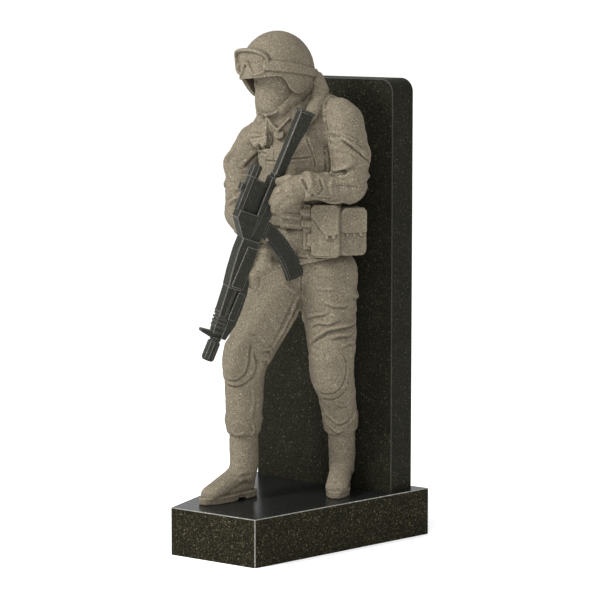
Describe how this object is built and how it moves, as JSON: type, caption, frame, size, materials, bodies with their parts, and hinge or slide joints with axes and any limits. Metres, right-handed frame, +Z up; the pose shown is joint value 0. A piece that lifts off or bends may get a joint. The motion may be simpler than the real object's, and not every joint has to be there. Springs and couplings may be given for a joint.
{
  "type": "war memorial pillar",
  "caption": "Stone memorial: a carved soldier with goggles on the helmet carries a rifle muzzle down, standing on a tapered plinth in front of an upright slab.",
  "frame": {"origin": "middle of the underside of the plinth's bounding box", "axes": "+Z up, the soldier faces -Y (the narrow end of the plinth), the slab stands at +Y"},
  "size_m": [0.7588, 0.87, 1.9376],
  "materials": {
    "black_granite": "polished, fine light specks",
    "carved_granite": "fine-pointed carving, warm grey, speckled",
    "dark_stone": "honed, edges worn lighter"
  },
  "bodies": {
    "root": {"plinth": "black_granite", "stele": "black_granite", "soldier": "carved_granite", "rifle": "dark_stone"}
  },
  "joints": []
}
